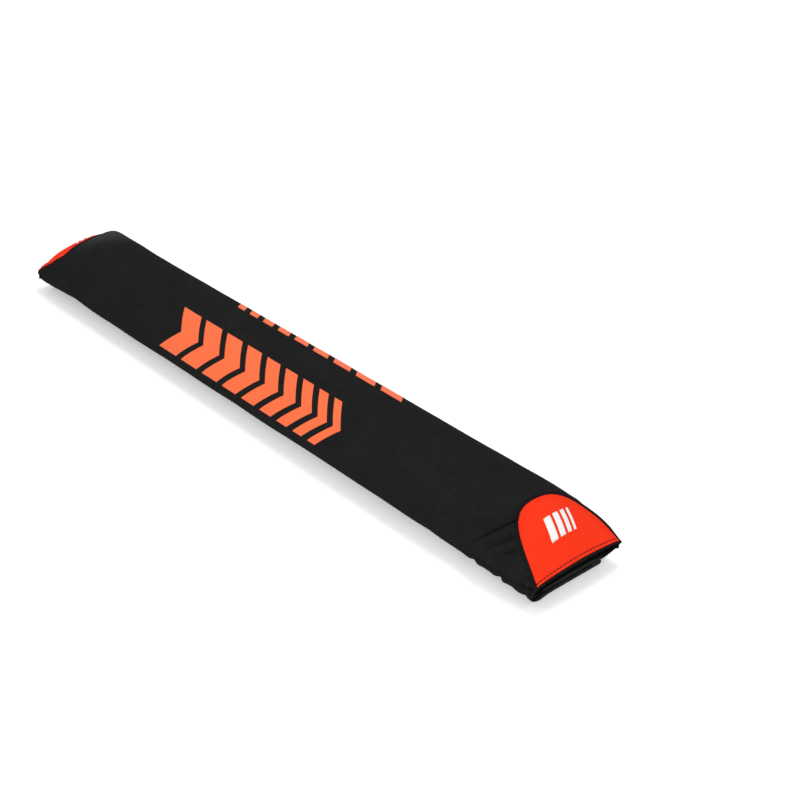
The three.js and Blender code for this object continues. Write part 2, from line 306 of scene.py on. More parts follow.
# Folds that the half-moon seams and hems pull into the cloth, in millimetres:
# start, end, width, depth, spread and bow, with places as (x, length of cloth from the ridge)
CREASES = [
    ((311.5, -27.5), (280, -66), 1.4, 4.6, 0.3, 5.3),
    ((310, -28), (258, -63), 4.4, 3.4, 0.5, 3.2),
    ((319, -40), (296, -63), 2.1, 3.0, 0.8, 2.2),
    ((327, -48), (308, -66), 1.9, 2.8, 0.8, 0.0),
    ((322, -71), (236, -79), 1.6, 2.2, 0.6, -3.3),
    ((351, -65), (312, -75), 1.7, 2.8, 0.6, 0.0),
    ((346, -58), (325, -85), 1.8, 1.3, 1.0, 2.0),
    ((351, -64), (338, -92), 1.6, 1.5, 1.0, 2.0),
    ((318, -78), (309, -97), 2.4, 1.8, 0.6, 0.0),
    ((289, -76), (281, -97), 2.6, 1.4, 0.6, 0.0),
    ((322, 46), (290, 68), 2.3, 0.9, 1.2, -3.0),
    ((336, 52), (306, 74), 2.0, 1.0, 1.2, -3.0),
    ((348, 60), (324, 84), 1.8, 0.9, 1.2, 0.0),
    ((-354, -56), (-312, -52), 1.7, 1.3, 1.0, 2.5),
    ((-350, -66), (-318, -78), 1.7, 1.1, 1.0, 0.0),
    ((-344, -46), (-300, -30), 3.5, 0.8, 1.2, 3.0),
    ((-338, 46), (-300, 62), 2.2, 1.0, 1.2, 3.0),
    ((-348, 56), (-316, 78), 1.9, 0.9, 1.2, 2.0),
]


def relief(x, turn):
    """How far the cloth stands off its smooth shape."""
    mm_x, mm_g = x / MM, girth_of(turn) / MM
    # three sizes of ripple, stronger towards the ends
    wave = 0.20 * np.sin(mm_x / 31 + 0.9 * np.sin(mm_g / 23)) * np.sin(mm_g / 17 + 0.7)
    wave += 0.14 * np.sin(mm_x / 13.7 + 1.1 + mm_g / 19) * np.sin(mm_g / 11.3 + mm_x / 47)
    wave += 0.07 * np.sin(mm_x / 6.9 + mm_g / 7.7) * np.sin(mm_x / 41 + 2)
    wave *= 1 + 1.2 * np.clip((np.abs(mm_x) - 250) / 90, 0, 1)
    # scallops where the cloth rolls under on the long sides
    wave += 0.28 * hill(np.abs(mm_g), 84, 14) * np.sin(mm_x / 21 + 1.4) * np.sin(mm_x / 57 + 0.3)
    # the far end is stuffed fuller, and its front corner is drawn in
    to_hem = np.clip((HEM_X - np.abs(x)) / (15 * MM), 0, 1)
    wave += far_fullness(mm_x, mm_g) * to_hem
    tuck = np.clip((-mm_x - FAR_TUCK_STARTS) / FAR_TUCK_RUN, 0, 1) ** 1.5
    wave -= FAR_TUCK * tuck * hill(turn, 1.3, 0.45)
    for fold in CREASES:
        wave += crease(mm_x, mm_g, *fold)
    off_floor = np.clip((turn - 0.9) / 0.4, 0, 1) * np.clip((5.1 - turn) / 0.4, 0, 1)
    return wave * MM * off_floor


def skin(x, turn, lift=0.0):
    """The outside of the cloth with its creases, raised by lift."""
    point = bare_skin(x, turn) + outward(x, turn) * (relief(x, turn) + lift)[..., None]
    point[..., 2] = np.maximum(point[..., 2], 0)
    return point


def moon_edge(angle, moon, grow=0.0):
    """A half-moon's outline, as (x, turn): angle runs from -90 degrees at the front to 90 at the back."""
    sine = np.sin(angle)
    reach = (moon["rise"] + grow) * (1 - np.abs(sine) ** moon["across"])
    return HEM_X - reach, 3 + sine * (moon["width"] / 2 + grow) / (moon["hem"] / 2)


def wall_half_width(x, z, depth, at_back):
    """Half width inside the cover at height z, less a depth."""
    s = section(x)
    low = RETURN_HEIGHT if at_back else 0.0
    radius = s["widest"] - RETURN_HEIGHT if at_back else s["fold"]
    below = np.maximum(0, low + radius - z)
    return s["half"] - radius + np.sqrt(np.maximum(0, (radius - depth) ** 2 - below**2))


# ---- Finishes ----


class Shade:
    """A socket that varies over a surface. Arithmetic on it adds Math nodes."""

    def __init__(self, finish, socket):
        self.finish, self.socket = finish, socket

    def math(self, operation, *values, clamp=False):
        settings = {"operation": operation, "use_clamp": clamp}
        return self.finish.node("Math", settings, dict(enumerate(values)))

    def __add__(self, other):
        return self.math("ADD", self, other)

    def __sub__(self, other):
        return self.math("SUBTRACT", self, other)

    def __rsub__(self, other):
        return self.math("SUBTRACT", other, self)

    def __mul__(self, other):
        return self.math("MULTIPLY", self, other)

    def __pow__(self, other):
        return self.math("POWER", self, other)

    def __gt__(self, other):
        return self.math("GREATER_THAN", self, other)

    def __abs__(self):
        return self.math("ABSOLUTE", self)

    __radd__, __rmul__ = __add__, __mul__

    def sine(self):
        return self.math("SINE", self)

    def clamped(self):
        return self.math("ADD", self, 0.0, clamp=True)


class Finish:
    """A material built from nodes, and the record's slot that it belongs to."""

    def __init__(self, name, slot):
        self.slot = slot
        self.material = bpy.data.materials.new(name)
        self.material.use_nodes = True
        self.tree = self.material.node_tree
        self.tree.nodes.clear()

    def node(self, kind, settings=None, values=None, output=0):
        made = self.tree.nodes.new("ShaderNode" + kind)
        for name, value in (settings or {}).items():
            setattr(made, name, value)
        for name, value in (values or {}).items():
            if isinstance(value, Shade):
                self.tree.links.new(value.socket, made.inputs[name])
            else:
                made.inputs[name].default_value = value
        return Shade(self, made.outputs[output]) if made.outputs else None

    def place(self):
        """Object coordinates, in metres."""
        return self.node("TexCoord", output="Object")

    def flat(self):
        """The cloth's own flat coordinates in metres: along the piece, and round it."""
        flat = self.node("UVMap", {"uv_map": "cloth"})
        return [self.node("SeparateXYZ", {}, {0: flat}, output=k) for k in (0, 1)]

    def noise(self, vector, scale, detail=2.0, roughness=0.5):
        values = {"Vector": vector, "Scale": scale, "Detail": detail, "Roughness": roughness}
        return self.node("TexNoise", {}, values)

    def stretched(self, vector, scale):
        return self.node("Mapping", {}, {"Vector": vector, "Scale": scale})

    def mix(self, a, b, share):
        return self.node("Mix", {"data_type": "RGBA"}, {0: share, 6: a, 7: b}, output=2)

    def bump(self, height, distance, strength=1.0, below=None):
        values = {"Strength": strength, "Distance": distance, "Height": height}
        if below is not None:
            values["Normal"] = below
        return self.node("Bump", {}, values)

    def surface(self, **sockets):
        values = {name.replace("_", " "): value for name, value in sockets.items()}
        shader = self.node("BsdfPrincipled", {}, values)
        self.node("OutputMaterial", {}, {"Surface": shader})
        return self


def rgb(red, green, blue):
    return (red, green, blue, 1.0)


def woven(name, slot, color, pitch, shade, gloss=0.01, relief_height=0.10, painted_light_color=None):
    """Plain-woven polyester: threads cross at right angles, each a little lighter or darker than the
    next. Where the piece's own attribute for it is 1, the cloth is painted paler, as painted sheen and
    light."""
    finish = Finish(name, slot)
    u, v = finish.flat()
    crossing = (u * (math.pi / pitch)).sine() * (v * (math.pi / pitch)).sine()
    on_top = crossing > 0
    threads = abs(crossing) ** 0.5
    place = finish.place()
    yarn_u = finish.noise(finish.stretched(place, (0.06, 1, 1)), 1 / pitch, 1.0)
    yarn_v = finish.noise(finish.stretched(place, (1, 0.1, 0.1)), 1 / pitch, 1.0)
    yarn = yarn_u * on_top + yarn_v * (1 - on_top)
    slub = finish.noise(finish.stretched(place, (0.8, 1, 1)), 480.0, 2.0, 0.6)
    mottle = finish.noise(place, 45.0, 3.0, 0.6)
    light = (threads * 0.25 + yarn * 0.35 + slub * 0.7 + mottle * 0.6 - 0.45).clamped()
    dark = rgb(*[c * (1 - shade) for c in color])
    bright = rgb(*[min(1, c * (1 + shade)) for c in color])
    weave_bump = finish.bump(threads * 0.8 + yarn * 0.2, relief_height * MM, 0.7)
    soft = finish.noise(place, 170.0, 2.0)
    normal = finish.bump(soft, 0.10 * MM, 0.5, below=weave_bump)
    base = finish.mix(dark, bright, light)
    if painted_light_color:
        # painted sheen and light: the cloth is painted paler where this attribute is 1
        wear_and_painted_light = finish.node("Attribute", {"attribute_name": "wear_and_painted_light"}, output="Fac")
        base = finish.mix(base, rgb(*painted_light_color), (wear_and_painted_light * (0.45 + light * 0.8)).clamped())
    return finish.surface(
        Base_Color=base,
        Roughness=0.95 - 0.12 * threads + 0.08 * mottle,
        Normal=normal,
        Specular_IOR_Level=gloss,
    )


def printed(name, slot, color):
    """Ink pressed into the cloth: the weave shows through it, and it wears thin in specks."""
    finish = Finish(name, slot)
    u, v = finish.flat()
    crossing = (u * (math.pi / WEAVE_PITCH)).sine() * (v * (math.pi / WEAVE_PITCH)).sine()
    threads = abs(crossing) ** 0.5
    place = finish.place()
    wear_and_painted_light = finish.noise(place, 620.0, 3.0, 0.65)
    cloudy = finish.noise(place, 45.0, 2.0)
    thin = ((wear_and_painted_light - 0.63) * 6).clamped() * 0.25
    pale = rgb(*[min(1, c * 1.03) for c in color])
    base = finish.mix(rgb(*[c * 0.93 for c in color]), pale, cloudy)
    shown = finish.mix(base, rgb(*[c * 0.72 for c in color]), thin)
    return finish.surface(
        Base_Color=shown,
        Roughness=0.62 - 0.1 * threads + 0.1 * cloudy,
        Normal=finish.bump(threads * 0.7 + wear_and_painted_light * 0.3, 0.06 * MM, 0.6),
        Specular_IOR_Level=0.25,
    )


def ribbed_tape(name, slot, color, highlight_color):
    """Grosgrain tape: ribs across its length and a fine crosswise thread. Its face is painted dark as
    painted shade, and its rolled top edge and its foot are painted lighter as a painted highlight.
    """
    finish = Finish(name, slot)
    u, v = finish.flat()
    ribs = abs((u * (math.pi / TAPE_RIB_PITCH)).sine()) ** 0.6
    fine = (v * (math.pi / (0.35 * MM))).sine() * 0.5 + 0.5
    place = finish.place()
    fuzz = finish.noise(place, 900.0, 2.0)
    mottle = finish.noise(place, 60.0, 2.0)
    dark, bright = rgb(*[c * 0.6 for c in color]), rgb(*[c * 1.7 for c in color])
    light = (ribs * 0.4 + fine * 0.15 + mottle * 0.4).clamped()
    # painted highlight: the rolled top edge and the foot are painted lighter than the face
    highlight_on_roll = ((TAPE_ROLL_END - v) * (1 / (0.3 * MM))).clamped()
    edge = highlight_on_roll + ((v - TAPE_FOOT) * (1 / (0.2 * MM))).clamped()
    highlight_dark, highlight_bright = rgb(*[c * 0.75 for c in highlight_color]), rgb(*[c * 1.3 for c in highlight_color])
    highlight_tone = finish.mix(highlight_dark, highlight_bright, light)
    return finish.surface(
        Base_Color=finish.mix(finish.mix(dark, bright, light), highlight_tone, edge),
        Roughness=0.72 + 0.15 * fuzz,
        Normal=finish.bump(ribs * 0.7 + fine * 0.15 + fuzz * 0.15, 0.16 * MM, 0.8),
        Specular_IOR_Level=0.0,
    )


def thread_finish(name, slot, color):
    """Twisted sewing thread with a slight shine."""
    finish = Finish(name, slot)
    place = finish.place()
    bands = {"wave_type": "BANDS", "bands_direction": "DIAGONAL"}
    values = {"Vector": place, "Scale": 620.0, "Distortion": 1.0}
    twist = finish.node("TexWave", bands, values, output="Fac")
    dark, bright = rgb(*[c * 0.6 for c in color]), rgb(*[c * 1.8 for c in color])
    return finish.surface(
        Base_Color=finish.mix(dark, bright, twist),
        Roughness=0.6 + 0.15 * twist,
        Normal=finish.bump(twist, 0.05 * MM, 0.8),
        Specular_IOR_Level=0.15,
    )


def foam_finish(name, slot, color):
    """Closed-cell foam with a cut skin: small pores of two sizes."""
    finish = Finish(name, slot)
    place = finish.place()
    pores, large = [
        finish.node("TexVoronoi", {"feature": "F1"}, {"Vector": place, "Scale": scale}, output="Distance")
        for scale in (620.0, 260.0)
    ]
    mottle = finish.noise(place, 30.0, 3.0)
    height = pores * 0.6 + large * 0.4
    light = (height * 0.8 + mottle * 0.4).clamped()
    dark, bright = rgb(*[c * 0.45 for c in color]), rgb(*[c * 1.25 for c in color])
    return finish.surface(
        Base_Color=finish.mix(dark, bright, light),
        Roughness=0.92 - 0.06 * mottle,
        Normal=finish.bump(height, 0.5 * MM, 0.8),
        Specular_IOR_Level=0.3,
    )


def fastener_finish(name, slot, color, hooks):
    """Touch fastener: rows of hooks in a grid, or a matted pile of loops."""
    finish = Finish(name, slot)
    place = finish.place()
    if hooks:
        u, v = finish.flat()
        rows = (u * (math.pi / (0.9 * MM))).sine() * (v * (math.pi / (0.75 * MM))).sine()
        height = (abs(rows) ** 2) * 0.9 + finish.noise(place, 1500.0, 1.0) * 0.1
    else:
        curls = finish.noise(finish.stretched(place, (1, 2.2, 1)), 900.0, 4.0, 0.7)
        height = (curls * 1.6 - 0.3).clamped()
    light = (height * 0.8 + finish.noise(place, 80.0, 2.0) * 0.3).clamped()
    dark, bright = rgb(*[c * 0.5 for c in color]), rgb(*[c * 2.2 for c in color])
    return finish.surface(
        Base_Color=finish.mix(dark, bright, light),
        Roughness=0.75 - 0.2 * height,
        Normal=finish.bump(height, (0.7 if hooks else 0.5) * MM, 0.9),
        Sheen_Weight=0.1 if hooks else 0.4,
        Specular_IOR_Level=0.5 if hooks else 0.3,
    )


BLACK = (0.0146, 0.0144, 0.0147)
BLACK_PANEL = (0.0120, 0.0120, 0.0124)
BLACK_CORD = (0.0115, 0.0115, 0.0120)
# the hem tape, painted much darker than the cloth's black as painted shade on its face; its edges get a
# painted highlight
SHADED_TAPE_BLACK = (0.0026, 0.0026, 0.0028)
TAPE_HIGHLIGHT_BLACK = (0.0135, 0.0135, 0.0140)
# the paler black that the cover is painted towards, as painted sheen and light
PAINTED_LIGHT_BLACK = (0.055, 0.055, 0.056)
RED = (0.95, 0.037, 0.009)

COVER_CLOTH = woven("black cover cloth", "cover_cloth", BLACK, WEAVE_PITCH, 0.45, painted_light_color=PAINTED_LIGHT_BLACK)
PANEL_CLOTH = woven("black panel cloth", "cover_cloth", BLACK_PANEL, WEAVE_PITCH, 0.45)
PATCH_CLOTH = woven("red patch cloth", "patch_cloth", RED, FINE_WEAVE_PITCH, 0.09, 0.1, 0.07)
PIPING_CLOTH = woven("black piping cloth", "piping", BLACK_CORD, FINE_WEAVE_PITCH, 0.4)
HEM_TAPE = ribbed_tape("black hem tape", "hem_tape", SHADED_TAPE_BLACK, TAPE_HIGHLIGHT_BLACK)
ORANGE_INK = printed("orange print", "orange_print", (1.0, 0.165, 0.053))
WHITE_INK = printed("white print", "white_print", (0.89, 0.89, 0.87))
BLACK_THREAD = thread_finish("black thread", "hem_tape", (0.006, 0.006, 0.0065))
GREY_FOAM = foam_finish("grey foam", "foam", (0.155, 0.158, 0.165))
HOOKS = fastener_finish("hooks", "touch_fastener", (0.0085, 0.0085, 0.0090), hooks=True)
LOOPS = fastener_finish("loops", "touch_fastener", (0.0085, 0.0085, 0.0090), hooks=False)


# ---- Making pieces ----


def add_piece(name, mesh, finish, *nodes):
    """A piece of the sleeve in its finish, standing for CAD nodes."""
    piece = bpy.data.objects.new(name, mesh)
    bpy.context.scene.collection.objects.link(piece)
    return fit_out(piece, finish, *nodes)


def fit_out(piece, finish, *nodes):
    piece.data.materials.clear()
    piece.data.materials.append(finish.material)
    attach(piece, "root")
    if nodes:
        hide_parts(*nodes)
    return piece


def mesh_of(name, points, faces, flat):
    """A smooth mesh with flat coordinates, given for each corner of each face, as its UV map."""
    mesh = bpy.data.meshes.new(name)
    mesh.from_pydata(points.reshape(-1, 3).tolist(), [], faces)
    layer = mesh.uv_layers.new(name="cloth")
    layer.data.foreach_set("uv", np.asarray(flat, np.float32).ravel())
    mesh.shade_smooth()
    return mesh


def cloth_from(name, points, finish, *nodes, wear_and_painted_light=None):
    """A sheet of cloth through a grid of points, rows along the sleeve and columns round it. Its flat
    coordinates are x and the length of cloth round the sleeve from the middle column. Its last argument
    says how much paler the cloth is painted at each point, as painted sheen and light."""
    rows, columns = points.shape[:2]
    index = np.arange(rows * columns).reshape(rows, columns)
    faces = np.stack([index[:-1, :-1], index[1:, :-1], index[1:, 1:], index[:-1, 1:]], -1).reshape(-1, 4)
    run = np.cumsum(np.linalg.norm(np.diff(points, axis=1, prepend=points[:, :1]), axis=-1), axis=1)
    flat = np.stack([points[..., 0], run - run[:, columns // 2, None]], -1).reshape(-1, 2)
    mesh = mesh_of(name, points, faces.tolist(), flat[faces.ravel()])
    if wear_and_painted_light is not None:
        painted_light_layer = mesh.attributes.new("wear_and_painted_light", "FLOAT", "POINT")
        painted_light_layer.data.foreach_set("value", wear_and_painted_light.astype(np.float32).ravel())
    piece = add_piece(name, mesh, finish, *nodes)
    wall = piece.modifiers.new("thickness", "SOLIDIFY")
    wall.thickness, wall.offset = CLOTH, -1
    return piece


def tube_from(name, rings, finish, *nodes):
    """A closed tube through rings of points, capped at both ends."""
    count, sides = rings.shape[:2]
    along = np.concatenate([[0], np.cumsum(np.linalg.norm(np.diff(rings.mean(1), axis=0), axis=-1))])
    loop = np.concatenate([rings, rings[:, :1]], 1)
    turn = np.cumsum(np.linalg.norm(np.diff(loop, axis=1, prepend=loop[:, :1]), axis=-1), axis=1)
    faces, flat = [], []
    for i in range(count - 1):
        for j in range(sides):
            corners = [(i, j), (i + 1, j), (i + 1, j + 1), (i, j + 1)]
            faces.append([a * sides + b % sides for a, b in corners])
            flat += [(along[a], turn[a, b]) for a, b in corners]
    for i, order in ((0, 1), (count - 1, -1)):
        ring = list(range(sides))[::order]
        faces.append([i * sides + j for j in ring])
        flat += [(along[i], turn[i, j]) for j in ring]
    return add_piece(name, mesh_of(name, rings, faces, flat), finish, *nodes)


def stations(far, near, body_steps, far_steps, near_steps):
    """Places along the sleeve from its far end to its near one, closer together on the slopes."""
    body = np.linspace(-SHOULDER_X, SHOULDER_X, body_steps + 1)[1:-1]
    far_slope = np.linspace(SHOULDER_X, far, far_steps + 1)
    near_slope = np.linspace(SHOULDER_X, near, near_steps + 1)
    return np.concatenate([-far_slope[::-1], body, near_slope])


# ---- Cover ----

# Places round the sleeve: finer on the front, where the folds are, and at the seams' corners
SEAM_TURNS = moon_edge(np.radians(np.linspace(-90, 90, 181)), NEAR_MOON, SEAM_GAP)[1]
folded = turn_of(np.arange(girth_of(1.02), girth_of(2), 1.25 * MM))
crown = turn_of(np.arange(girth_of(2) + 1.3 * MM, -20 * MM, 1.15 * MM))
turns = np.unique(np.concatenate([
    np.linspace(0, 1, 9),
    folded,
    [2, 2.006],
    crown[crown > SEAM_TURNS[0] + 0.02],
    SEAM_TURNS[[0, 4, 9]],
    turn_of(np.linspace(-20 * MM, girth_of(4) - 6 * MM, 34)),
    SEAM_TURNS[[-10, -5, -1]],
    [3.994],
    np.linspace(4, 5, 13),
    np.linspace(5, 6, 9),
]).round(5))


def cover_end(turn, moon):
    """Where the cloth ends along X: at the half-moon seam, at the hem, or at the flaps' shorter ends."""
    seam_x, seam_turn = moon_edge(np.radians(np.linspace(-90, 90, 361)), moon, SEAM_GAP)
    if seam_turn[0] <= turn <= seam_turn[-1]:
        return float(np.interp(turn, seam_turn, seam_x))
    if 2 <= turn <= 4:
        return HEM_X
    height = float(bare_skin(HEM_X, turn)[2])
    low = 0.0 if turn < 2 else RETURN_HEIGHT
    drawn_in = FLAP_DRAWN_IN * np.clip((np.abs(turn - 3) - 2.03) / 0.12, 0, 1)
    return HEM_X - FLAP_SETBACK * (HEM_SIDE - height) / (HEM_SIDE - low) - float(drawn_in)


def cover_grid():
    columns, inward = [], []
    for turn in turns:
        xs = stations(cover_end(turn, FAR_MOON), cover_end(turn, NEAR_MOON), 38, 86, 112)
        columns.append(skin(xs, np.full_like(xs, turn)))
        inward.append(-outward(xs, np.full_like(xs, turn)))
    points, inward = np.stack(columns, 1), np.stack(inward, 1)
    # hems at both ends: round a fold, thicker on the flaps, then back inside
    on_flap = np.clip(np.maximum(1.3 - turns, turns - 4.7) / 0.3, 0, 1)[:, None]
    fold = between(HEM_FOLD, FLAP_HEM_FOLD, on_flap)
    back_rows = 7
    ends = []
    for order, sign in ((slice(None), 1), (slice(None, None, -1), -1)):
        p, n = points[order], inward[order]
        out = np.zeros_like(p[-1])
        out[:, 0] = sign
        rows = []
        for degrees in (45, 90, 135, 180):
            a = math.radians(degrees)
            rows.append(p[-1] + out * fold * math.sin(a) + n[-1] * fold * (1 - math.cos(a)))
        for k in range(2, back_rows + 1):
            rows.append(p[-k] + n[-k] * 2 * fold)
        ends.append(np.stack(rows))
    points = np.concatenate([ends[1][::-1], points, ends[0]])
    # hems along the flaps' free edges
    sides = []
    radius = HEM_FOLD * 1.3
    for order, sign in ((slice(None), 1), (slice(None, None, -1), -1)):
        edge = points[:, order][:, 0]
        out, rise = np.zeros_like(edge), np.zeros_like(edge)
        out[:, 1], rise[:, 2] = sign, 1
        columns = []
        for degrees in (45, 90, 135, 180):
            a = math.radians(degrees)
            columns.append(edge + out * radius * math.sin(a) + rise * radius * (1 - math.cos(a)))
        columns.append(edge - out * HEM_TURN / 2 + rise * 2 * radius)
        columns.append(edge - out * HEM_TURN + rise * 2 * radius)
        sides.append(np.stack(columns, 1))
    return np.concatenate([sides[0][:, ::-1], points, sides[1]], 1)


HEM_COLUMNS = 6


def cover_painted_light(points):
    """Painted paler over the foam's end corners as painted sheen, and along the folds of the flaps' hems as
    painted light.
    """
    x = points[..., 0] / MM
    around = np.concatenate([np.zeros(HEM_COLUMNS), turns, np.full(HEM_COLUMNS, 6)])
    # painted sheen over the foam's end corners, strongest at the far one
    painted_light = FAR_CORNER_PAINTED_LIGHT * hill(x, -318, 18) * hill(around, 3.3, 0.55)
    painted_light += NEAR_CORNER_PAINTED_LIGHT * hill(x, 312, 12) * hill(around, 3.2, 0.6)
    # painted light along the folds of the flaps' hems
    on_flap = np.clip((np.abs(around - 3) - 1.85) / 0.1, 0, 1)
    for k, share in enumerate(END_HEM_PAINTED_LIGHT, 5):
        painted_light[k] = painted_light[-1 - k] = HEM_PAINTED_LIGHT * share * on_flap
    for k, share in enumerate(FLAP_HEM_PAINTED_LIGHT, 2):
        painted_light[:, k] = np.maximum(painted_light[:, k], HEM_PAINTED_LIGHT * share)
        painted_light[:, -1 - k] = np.maximum(painted_light[:, -1 - k], HEM_PAINTED_LIGHT * share)
    return painted_light


cover_points = cover_grid()
cover = cloth_from("cover_cloth", cover_points, COVER_CLOTH, "cover", wear_and_painted_light=cover_painted_light(cover_points))


# ---- Foam bar and the panel under it ----


def foam_rings():
    """Loops round the foam, which keep clear of the cover's dips and shrink over the last few
    millimetres so that its ends are rounded."""
    rounded, end = FOAM_ROUND, HEM_X - FOAM_END_GAP
    under = PANEL_HEIGHT + PANEL_GAP
    turn = 3 + np.sin(np.radians(np.linspace(-84, 84, 41))) * 0.985
    caps = rounded * np.sin(np.radians([20, 40, 58, 72, 82, 90]))
    near = np.concatenate([np.linspace(0, end - rounded, 60)[1:], end - rounded + caps])
    rings = []
    for x in np.concatenate([-near[::-1], [0], near]):
        into = max(0.0, abs(x) - (end - rounded)) / rounded
        inset = rounded * (1 - math.sqrt(max(0.0, 1 - into**2)))
        slack = FOAM_SLACK + FOAM_END_SLACK * np.clip((abs(x) / MM - 245) / 20, 0, 1)
        dips = [relief(x + dx * MM, turn + dt) for dx in (-5, -2.5, 0, 2.5, 5) for dt in (-0.03, 0, 0.03)]
        gap = np.maximum(slack, FOAM_CLEAR - np.min(dips, axis=0))[:, None]
        top = bare_skin(x, turn) - outward(x, turn) * (gap + inset)
        top[:, 2] = np.maximum(top[:, 2], under + 0.6 * MM)
        y = np.linspace(top[-1, 1] - 1.2 * MM, top[0, 1] + 1.2 * MM, 15)
        bottom = np.stack([np.full_like(y, x), y, np.full_like(y, under)], -1)
        ring = np.concatenate([top, bottom])
        ring[:, 0] = x
        rings.append(ring)
    return np.stack(rings)


foam = tube_from("foam_bar", foam_rings(), GREY_FOAM, "foam_core")


def panel_height(x, ratio):
    """The panel under the foam: flat along the body, arched with the hem at the ends."""
    arch = bare_skin(np.full_like(ratio, math.copysign(HEM_X, x)), 3 + ratio)[..., 2]
    return between(PANEL_HEIGHT, arch - PANEL_BELOW_ARCH - TAPE_HEIGHT, section(x)["taper"])


def panel_grid():
    end = HEM_X - TAPE_DEPTH / 2
    xs = stations(end, end, 60, 40, 40)
    rows = []
    for x in xs:
        z = float(panel_height(x, np.array([1.0]))[0])
        back, front = [wall_half_width(x, z, PANEL_SIDE_GAP, at_back) for at_back in (True, False)]
        y = np.linspace(back, -front, 33)
        rise = panel_height(x, np.clip(y / section(x)["half"], -1, 1))
        sag = PANEL_SAG * np.sin(x / (29 * MM)) * np.cos(math.pi * y / BODY_WIDTH)
        rows.append(np.stack([np.full_like(y, x), y, rise + sag], -1))
    return np.stack(rows)


panel = cloth_from("panel_cloth", panel_grid(), PANEL_CLOTH, "underside_panel")


# ---- Ends: patches, piping and hem tape ----


def patch_grid(sign, moon):
    """A half-moon's cloth, in columns from its curved edge to the hem."""
    angles = np.radians(np.linspace(-88.5, 88.5, 73))
    edge_x, edge_turn = moon_edge(angles, moon, -SEAM_GAP)
    columns = []
    for x0, turn in zip(edge_x, edge_turn):
        xs = sign * np.linspace(x0, HEM_X - 0.4 * MM, 49)
        turn = 3 + sign * (turn - 3)
        columns.append(skin(xs, np.full_like(xs, turn)))
    return np.stack(columns, 1)


def piping_rings(sign, moon):
    """The cord round a half-moon, which thins out and sinks into the seam towards the hem."""
    angles = np.radians(np.linspace(-87.5, 87.5, 161))
    x, turn = moon_edge(angles, moon)
    x, turn = sign * x, 3 + sign * (turn - 3)
    thin = 1 - np.clip((1 - np.abs(np.sin(angles))) / 0.07, 0, 1) ** 0.7
    up = outward(x, turn)
    centres = skin(x, turn, moon["lift"]) - up * (SEAM_SUNK * thin)[:, None]
    radius = (moon["cord"] * (1 - 0.35 * thin))[:, None, None]
    along = np.gradient(centres, axis=0)
    along /= np.linalg.norm(along, axis=-1, keepdims=True)
    side = np.cross(along, up)
    a = np.linspace(0, 2 * math.pi, 13)[:-1]
    return (
        centres[:, None]
        + up[:, None] * np.sin(a)[None, :, None] * radius
        + side[:, None] * np.cos(a)[None, :, None] * radius
    )


def tape_rings(sign, moon):
    """The tape folded round the hem's lower edge: a flat loop, pinched where it is sewn."""
    half = moon["hem"] / 2 - TAPE_INSET
    inner = half - 1.5 * MM
    ends = [np.linspace(-half, -inner, 6)[:-1], np.linspace(inner, half, 6)[1:]]
    y = np.concatenate([ends[0], np.linspace(-inner, inner, 81), ends[1]])
    x = np.full_like(y, HEM_X)
    corner = np.abs(y / half) ** 14
    arch = bare_skin(sign * x, 3 + np.clip(y / (moon["hem"] / 2), -1, 1))[:, 2]
    top = arch - 0.35 * MM - TAPE_CORNER_DROP * corner
    low = top - TAPE_HEIGHT - TAPE_CORNER_SAG * corner
    round_corner = np.maximum(0, np.abs(y) - half + TAPE_CORNER) / TAPE_CORNER
    x = x - TAPE_CORNER * (1 - np.sqrt(np.clip(1 - round_corner**2, 0, 1)))
    wobble = 0.12 * MM * np.sin(y / (7 * MM)) + 0.08 * MM * np.sin(y / (3.1 * MM) + 1)
    ring = []
    for back, rise in TAPE_PROFILE:
        share = rise * MM / TAPE_HEIGHT
        bulge = wobble * math.sin(math.pi * share)
        ring.append(np.stack([x - back * MM + bulge - TAPE_BACK, y, between(low, top, share)], -1))
    rings = np.stack(ring, 1)
    rings[:, :, 0] *= sign
    rings[:, :, 1] *= sign
    return rings


# ---- Stitches ----


def one_stitch():
    """A stitch along X: a stretched bead of thread."""
    bpy.ops.object.select_all(action="DESELECT")
    bpy.ops.mesh.primitive_uv_sphere_add(segments=6, ring_count=5, radius=THREAD_RADIUS)
    bead = bpy.context.object
    bpy.ops.object.mode_set(mode="EDIT")
    bpy.ops.mesh.select_all(action="SELECT")
    bpy.ops.transform.rotate(value=math.pi / 2, orient_axis="Y", center_override=(0, 0, 0))
    bpy.ops.transform.resize(value=(STITCH_LENGTH / 2 / THREAD_RADIUS, 1.15, 0.9))
    bpy.ops.object.mode_set(mode="OBJECT")
    points = np.array([v.co for v in bead.data.vertices])
    faces = [list(p.vertices) for p in bead.data.polygons]
    bpy.data.objects.remove(bead)
    return points, faces


STITCH_POINTS, STITCH_FACES = one_stitch()


